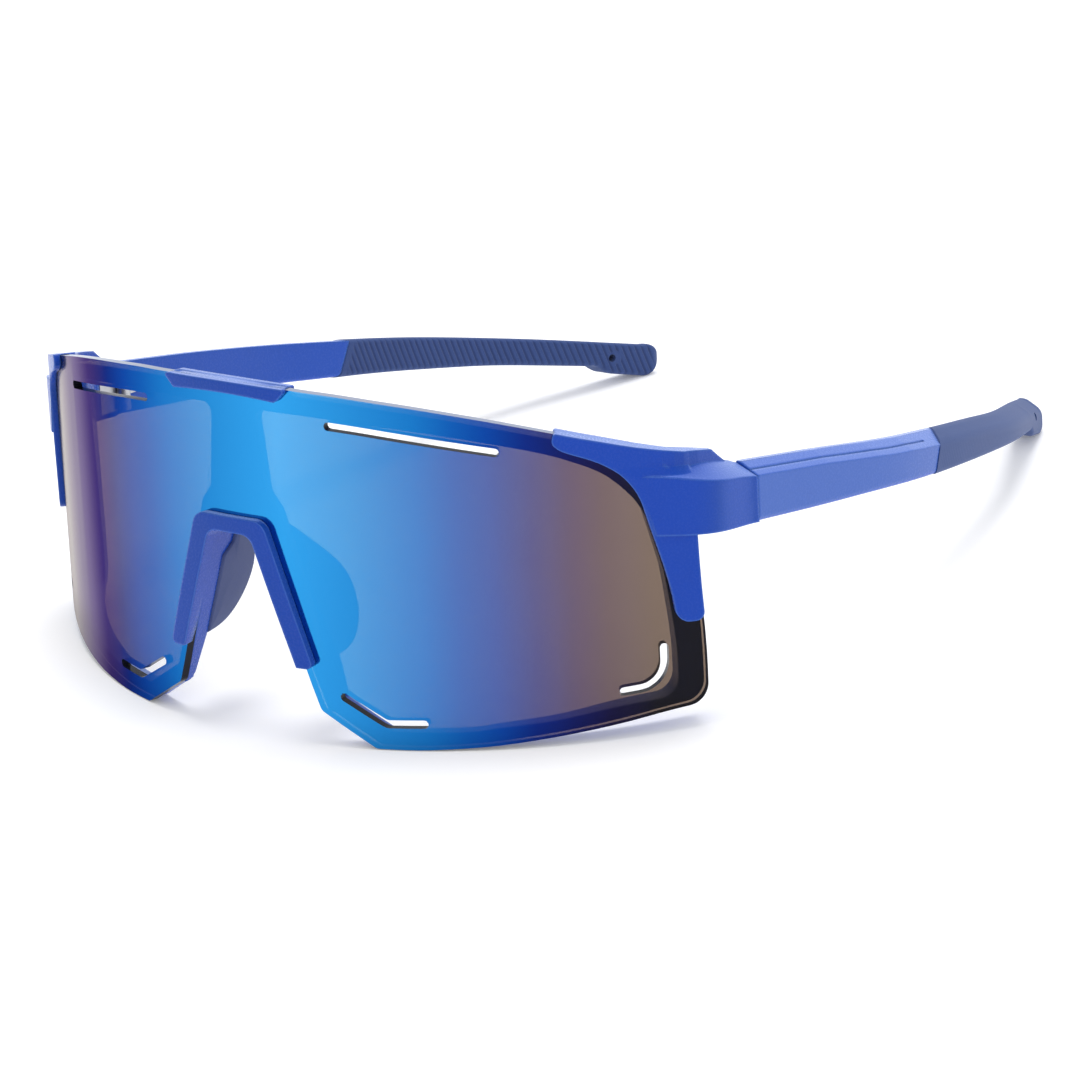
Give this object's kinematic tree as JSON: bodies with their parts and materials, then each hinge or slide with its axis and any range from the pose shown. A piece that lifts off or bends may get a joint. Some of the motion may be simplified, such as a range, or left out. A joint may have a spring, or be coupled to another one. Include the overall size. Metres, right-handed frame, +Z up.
{
  "type": "wraparound sport sunglasses",
  "caption": "Shield sport sunglasses: one curved mirror lens in a full rim with nose arch and soft pads, and folding side arms with soft hooked tips and cord holes.",
  "frame": {"origin": "centre of the table footprint, directly under the middle of the glasses, on the table plane", "axes": "+X to the wearer's left, -Y is the way the glasses face, +Z up; the glasses rest open on a table on the two lens points and the two tip ends"},
  "size_m": [0.1446, 0.1724, 0.0603],
  "materials": {
    "mirror_lens": "polycarbonate with a multicolour mirror coat",
    "blue_frame": "satin gloss moulded plastic",
    "dark_rubber": "matte soft rubber",
    "navy_rubber": "matte soft rubber with grip ribs",
    "hinge_steel": "nickel plated"
  },
  "bodies": {
    "front": {"lens_shield": "mirror_lens", "front_frame": "blue_frame", "nose_pad_left": "dark_rubber", "nose_pad_right": "dark_rubber", "frame_hinge_left": "hinge_steel", "frame_hinge_right": "hinge_steel", "hinge_screw_left": "hinge_steel", "hinge_screw_right": "hinge_steel"},
    "temple_left": {"temple_arm_left": "blue_frame", "temple_tip_left": "navy_rubber", "temple_hinge_left": "hinge_steel"},
    "temple_right": {"temple_arm_right": "blue_frame", "temple_tip_right": "navy_rubber", "temple_hinge_right": "hinge_steel"}
  },
  "joints": [
    {"name": "left_fold", "type": "hinge", "parent": "front", "child": "temple_left", "pos_m": [0.0663, -0.03672, 0.03479], "axis": [0, 0.0909, 0.9959], "range_deg": [0, 80]},
    {"name": "right_fold", "type": "hinge", "parent": "front", "child": "temple_right", "pos_m": [-0.0663, -0.03672, 0.03479], "axis": [0, -0.0909, -0.9959], "range_deg": [0, 72]}
  ]
}
